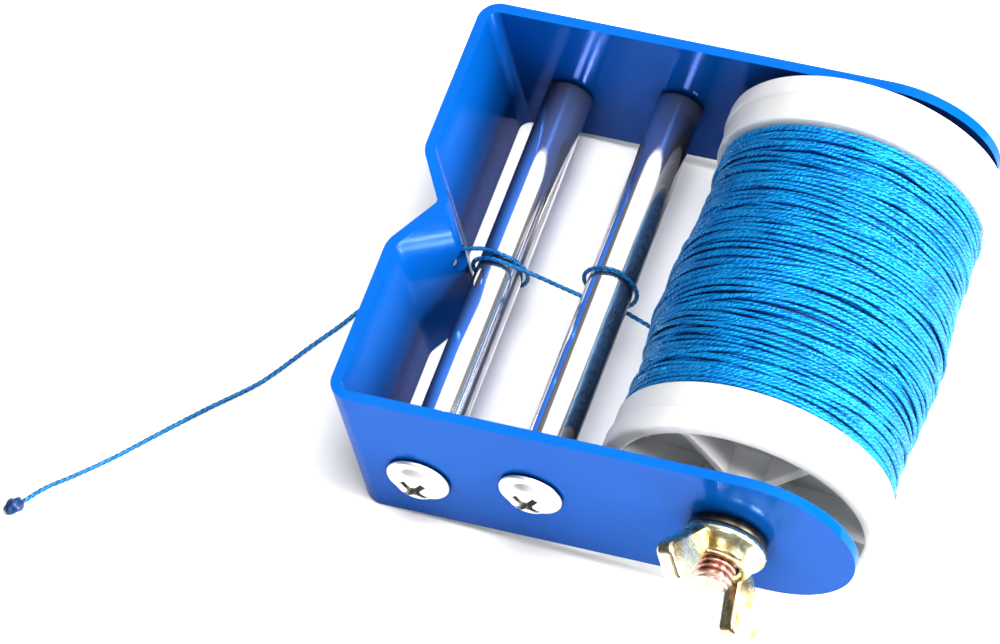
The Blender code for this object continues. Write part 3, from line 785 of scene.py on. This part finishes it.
def sway(angle, height, seed, reach):
    """How far a strand drifts along the axis; neighbours drift together, so they bunch and part."""
    wave = (np.sin(angle + 2.4 * np.sin(0.21 * height + 1.7 * seed) + 2.1 * seed)
            + 0.55 * np.sin(2 * angle + 2.9 * np.sin(0.37 * height + 0.6 * seed) + 0.8 * seed)
            + 0.30 * np.sin(3 * angle + 4.1 * np.sin(0.53 * height + seed)))
    room = np.clip((WOUND_HALF - 0.45 - np.abs(height)) / 3.0, 0.0, 1.0)
    return reach * wave * room


def winding(start, end, pitch, sink, seed, reach, jitter, rng, turn_from=0.0):
    """A run of thread from one height to another, sunk so far below the pack's outer line."""
    turns = abs(end - start) / pitch
    count = max(int(turns * 92), 12)
    angle = turn_from + np.linspace(0.0, turns * math.tau, count)
    base = np.linspace(start, end, count)
    knots = max(int(turns * 7), 4)
    loose = np.interp(np.linspace(0, knots, count), np.arange(knots + 1), rng.uniform(-1, 1, knots + 1))
    lift = np.interp(np.linspace(0, knots, count), np.arange(knots + 1), rng.uniform(-1, 1, knots + 1))
    limit = WOUND_HALF - 0.42
    height = np.clip(base + sway(angle, base, seed, reach) + jitter * loose, -limit, limit)
    radius = pack_radius(height) - sink + 0.13 * lift
    return angle, height, radius


def ring_points(angle, height, radius):
    """Turned coordinates to the strap's frame; heights run from the middle towards the near arm."""
    points = np.stack([AXLE_X + radius * np.cos(angle), -height, MIDLINE + radius * np.sin(angle)], -1)
    ups = np.stack([np.cos(angle), np.zeros_like(angle), np.sin(angle)], -1)
    return points, ups


def make_wound_thread(material, core_material):
    """Three close layers, a few steep crossing runs on top, and under them a dark core: painted shade that
    shows in the gaps.
    """
    rng = np.random.default_rng(11)
    edge = WOUND_HALF - 0.4
    runs = [winding(-edge, edge, 0.70, 1.05, 1.0, 0.45, 0.10, rng),
            winding(edge, -edge, 0.98, 0.62, 2.6, 0.95, 0.20, rng),
            winding(-edge, edge, 1.25, 0.42, 4.3, 1.25, 0.25, rng)]
    crossings = ((19.5, 10.0, 6.5, 2.2), (-3.0, 8.5, 7.5, 1.2), (3.0, -9.0, 8.5, 3.0),
                 (-20.5, -13.0, 6.0, 0.6), (14.0, 21.0, 6.0, 5.0))
    for start, end, pitch, turn_from in crossings:
        runs.append(winding(start, end, pitch, 0.22, 0.5, 0.4, 0.1, rng, turn_from))
    tubes = []
    for angle, height, radius in runs:
        points, ups = ring_points(angle, height, radius)
        tubes.append((points, ups, STRAND_RADIUS, 7))
    wound = strand_object("thread_windings", tubes)
    stand_up(wound, material, "spool_body", ["wound_thread"], 180.0)

    heights = [edge - 2 * edge * i / 60 for i in range(61)]
    profile = [(BARREL_RADIUS + 0.15, edge)] + [(float(pack_radius(h)) - 1.35, h) for h in heights]
    profile.append((BARREL_RADIUS + 0.15, -edge))
    # painted shade: the dark navy core stands for the shade in the pack's gaps
    core = lathe("thread_core", profile, 96, at(AXLE_X, 0, MIDLINE, NEAR), closed=True)
    stand_up(core, core_material, "spool_body", ["wound_thread"], 60.0)


# ---------------------------------------------------------------- thread line

def wrap(centre, radius, start, end, y_start, y_end, count):
    """Points of a turn round a rod, from one angle in degrees to another."""
    points = []
    for i in range(count + 1):
        share = i / count
        angle = math.radians(start + (end - start) * share)
        points.append((centre[0] + radius * math.cos(angle), y_start + (y_end - y_start) * share,
                       centre[1] + radius * math.sin(angle)))
    return points


def line_route():
    """The thread's route in metres, the same as the CAD's."""
    hug = ROD_RADIUS + THREAD_RADIUS + GAP
    web = ROD_AXES["web"]
    spool = ROD_AXES["spool"]
    held = [(47.4, 0.0, -3.2), (42.4, 0.0, 0.3), (37.3, 0.1, 3.8), (32.2, 0.3, 7.3)]
    held += wrap(spool, hug, 234.0, 90.0, 0.6, 1.1, 6)
    held += wrap(spool, hug, 66.0, -107.0, 1.1, -0.8, 7)
    held += [(25.0, -0.45, 11.6), (21.4, -0.1, 12.6), (17.5, 0.2, 13.8)]
    held += wrap(web, hug, 73.0, 443.0, 0.45, 1.6, 16)
    held += [(9.2, 1.9, 15.4), (6.1, 1.3, 15.2), (3.6, 0.7, 15.0)]
    loose = [(-1.2, -0.1, 14.3), (-4.6, -1.2, 10.6), (-7.2, -2.3, 5.6), (-9.1, -3.4, 1.9),
             (-10.9, -5.3, 0.55), (-12.8, -8.5, 0.4), (-15.9, -13.3, 0.4), (-19.4, -19.0, 0.4),
             (-21.9, -22.4, 0.4), (-27.0, -27.8, 0.4), (-32.2, -33.7, 0.4), (-37.3, -39.6, 0.4),
             (-42.0, -44.4, 0.4), (-45.3, -47.5, 0.4), (-47.3, -50.2, 0.5), (-48.0, -51.2, 0.65)]
    return [STRAP @ Vector(point) for point in held] + [(Vector(point) + STAND) * MM for point in loose]


def smooth_route(points, spacing):
    """A smooth curve through the points, resampled evenly, and its length."""
    ends = [points[0] * 2 - points[1], *points, points[-1] * 2 - points[-2]]
    fine = []
    for a, b, c, d in zip(ends, ends[1:], ends[2:], ends[3:]):
        for i in range(24):
            t = i / 24
            fine.append(0.5 * (2 * b + (c - a) * t + (2 * a - 5 * b + 4 * c - d) * t * t
                               + (3 * b - 3 * c + d - a) * t ** 3))
    fine.append(points[-1])
    lengths = [0.0]
    for a, b in zip(fine, fine[1:]):
        lengths.append(lengths[-1] + (b - a).length)
    count = round(lengths[-1] / spacing)
    even = []
    j = 0
    for i in range(count + 1):
        want = lengths[-1] * i / count
        while j < len(fine) - 2 and lengths[j + 1] < want:
            j += 1
        share = (want - lengths[j]) / (lengths[j + 1] - lengths[j])
        even.append(fine[j].lerp(fine[j + 1], share))
    return even, lengths[-1]


def carried_ups(points):
    """Directions across a path that do not spin round it."""
    tangents = np.gradient(points, axis=0)
    tangents /= np.linalg.norm(tangents, axis=1, keepdims=True)
    up = np.cross(tangents[0], (0.0, 1.0, 0.0))
    ups = []
    for tangent in tangents:
        up = up - up.dot(tangent) * tangent
        up = up / np.linalg.norm(up)
        ups.append(up)
    return np.array(ups)


def knot_mesh():
    """A lumpy melted end, a little longer than wide, that lies where the thread stops."""
    bm = bmesh.new()
    bmesh.ops.create_icosphere(bm, subdivisions=4, radius=1.0)
    for vert in bm.verts:
        x, y, z = vert.co
        lump = 1 + 0.07 * math.sin(5.1 * x + 2.3 * z) + 0.06 * math.sin(6.7 * y - 3.1 * x + 1.0)
        groove = 0.05 * math.cos(3 * math.atan2(z, y) + 5.5 * x)
        vert.co = Vector((1.72 * x, 1.28 * y, 1.0 * z)) * (lump + groove) * 0.93
    mesh = bpy.data.meshes.new("thread_end")
    bm.to_mesh(mesh)
    bm.free()
    mesh.transform(Matrix.Scale(MM, 4) @ Matrix.Translation(Vector((-48.55, -52.05, 1.05)) + STAND)
                   @ Matrix.Rotation(math.radians(57.0), 4, "Z"))
    mesh.shade_smooth()
    return mesh


def make_thread_line(line_material, knot_material):
    """The free thread, three strands twisted with a lay of 2.9 mm, and the knot at its end."""
    step = 0.16
    lay = 2.9
    sides = 15
    route, length = smooth_route(line_route(), step * MM)
    points = np.array([tuple(p) for p in route]) / MM
    ups = carried_ups(points)
    along = np.arange(len(points)) * step
    angle = np.arange(sides) * math.tau / sides
    twist = angle[None, :] + along[:, None] * math.tau / lay
    radii = LINE_RADIUS * (0.90 + 0.13 * np.cos(3 * twist))
    line = strand_object("thread_run", [(points, ups, radii, sides)])
    line.data.transform(Matrix.Scale(MM, 4))
    line.data.shade_smooth()
    line.data.materials.append(line_material)
    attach(line, "frame")
    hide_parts("thread_line")

    knot = bpy.data.objects.new("thread_end", knot_mesh())
    knot.data.materials.append(knot_material)
    bpy.context.scene.collection.objects.link(knot)
    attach(knot, "frame")
    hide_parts("end_knot")


# ---------------------------------------------------------------- stage, lights and camera

def area_light(name, place, target, size, power, size_y=None):
    """A white area light, square unless it has a second size; places and sizes are in metres."""
    light = bpy.data.lights.new(name, "AREA")
    light.energy = power
    light.size = size
    if size_y:
        light.shape = "RECTANGLE"
        light.size_y = size_y
    obj = bpy.data.objects.new(name, light)
    bpy.context.scene.collection.objects.link(obj)
    obj.location = place
    obj.rotation_euler = (Vector(target) - Vector(place)).to_track_quat("-Z", "Y").to_euler()


def make_floor():
    bm = bmesh.new()
    bmesh.ops.create_grid(bm, x_segments=8, y_segments=8, size=1.6)
    mesh = bpy.data.meshes.new("studio_floor")
    bm.to_mesh(mesh)
    bm.free()
    floor = bpy.data.objects.new("studio_floor", mesh)
    bpy.context.scene.collection.objects.link(floor)
    mesh.materials.append(floor_white())


def make_world():
    """A soft sky, dark at the horizon and pale overhead."""
    world = bpy.data.worlds.new("studio")
    bpy.context.scene.world = world
    world.use_nodes = True
    tree = world.node_tree
    coordinates = tree.nodes.new("ShaderNodeTexCoord")
    split = tree.nodes.new("ShaderNodeSeparateXYZ")
    ramp = tree.nodes.new("ShaderNodeValToRGB")
    tree.links.new(coordinates.outputs["Generated"], split.inputs["Vector"])
    tree.links.new(split.outputs["Z"], ramp.inputs["Fac"])
    horizon, zenith = ramp.color_ramp.elements
    horizon.position = 0.1
    horizon.color = (0.035, 0.035, 0.045, 1.0)
    zenith.position = 0.95
    zenith.color = (0.55, 0.55, 0.56, 1.0)
    tree.links.new(ramp.outputs["Color"], tree.nodes["Background"].inputs["Color"])
    tree.nodes["Background"].inputs["Strength"].default_value = 0.52


def make_lights():
    area_light("overhead", (-0.15, 0.42, 1.05), (-0.15, 0.0, 0.0), 1.7, 7.0, size_y=1.2)
    area_light("top_key", (0.14, -0.08, 1.10), (0.0, 0.0, 0.0), 0.40, 11.0)
    area_light("right_box", (0.80, -0.05, 0.52), (0.0, 0.0, 0.01), 0.34, 27.0, size_y=0.5)
    area_light("front_fill", (0.10, -0.95, 0.20), (0.0, 0.0, 0.01), 0.5, 0.5, size_y=0.3)
    area_light("cup_fill", (0.02, -0.62, 0.90), (0.0, 0.0, 0.01), 0.30, 2.2)


def make_camera():
    """The photo's view: half a metre in front and a metre up, through a long lens."""
    camera = bpy.data.cameras.new("camera")
    camera.sensor_width = 36.0
    camera.lens = 270.3
    camera.shift_x = -0.0010
    camera.shift_y = -0.0040
    camera.clip_end = 20.0
    obj = bpy.data.objects.new("camera", camera)
    place = Vector((247.824, -510.032, 972.327))
    turn = (29.8922, 3.4141, 19.1102)
    obj.location = (place + STAND) * MM
    obj.rotation_euler = tuple(math.radians(angle) for angle in turn)
    bpy.context.scene.collection.objects.link(obj)
    bpy.context.scene.camera = obj


make_camera()
bpy.context.scene.view_settings.view_transform = "Standard"
make_floor()
make_world()
make_lights()

line_thread = thread("thread_single", (0.001, 0.030, 0.13), (0.002, 0.09, 0.30), (0.01, 0.20, 0.50))
pack_thread = thread("thread_wound", (0.0002, 0.020, 0.13), (0.0004, 0.170, 0.54), (0.004, 0.50, 0.84))
enamel = blue_paint("blue_enamel", 0.07)
enamel_edge = blue_paint("blue_enamel_edge", 0.75)
rod_steel = chrome()
zinc = bright_zinc()
recess_shade_material = zinc_recess_shade()

make_thread_line(line_thread, melted_thread())
make_strap(enamel, enamel_edge)
for rod_place in ROD_AXES:
    make_rod(rod_place, rod_steel)
    for arm_side in ("near", "far"):
        make_screw(rod_place, arm_side, zinc, recess_shade_material)
make_bolt(copper_zinc())
make_washer(washer_zinc_shade())
make_wing_nut(yellow_zinc())
make_spool(white_plastic())
make_wound_thread(pack_thread, melted_thread())
